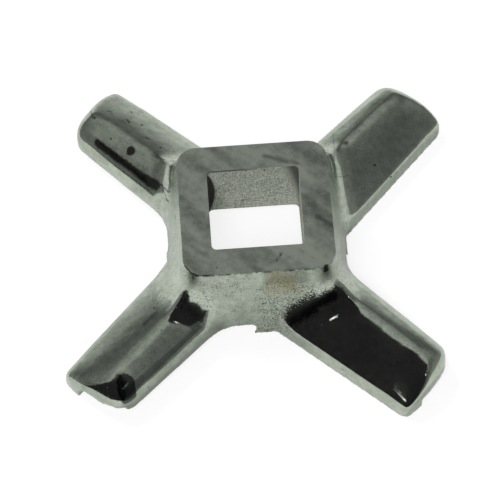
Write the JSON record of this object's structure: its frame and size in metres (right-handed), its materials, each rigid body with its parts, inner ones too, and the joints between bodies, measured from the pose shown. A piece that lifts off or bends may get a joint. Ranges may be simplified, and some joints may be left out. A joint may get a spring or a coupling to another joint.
{
  "type": "meat grinder knife",
  "caption": "Cast cross-shaped knife of a meat grinder, with a raised square hub, a square driving bore and ridged arms with ground cutting edges.",
  "frame": {"origin": "on the axis of the square bore, in the plane of the ground cutting lands", "axes": "+Z along the bore towards the raised hub; X and Y square to the sides of the bore; the arms lie on the diagonals"},
  "size_m": [0.0402, 0.0402, 0.0091],
  "materials": {
    "cast_steel": "cast stainless steel, tumbled bright with small casting pits; hub face and cutting lands ground matte"
  },
  "bodies": {
    "root": {"knife": "cast_steel"}
  },
  "joints": []
}
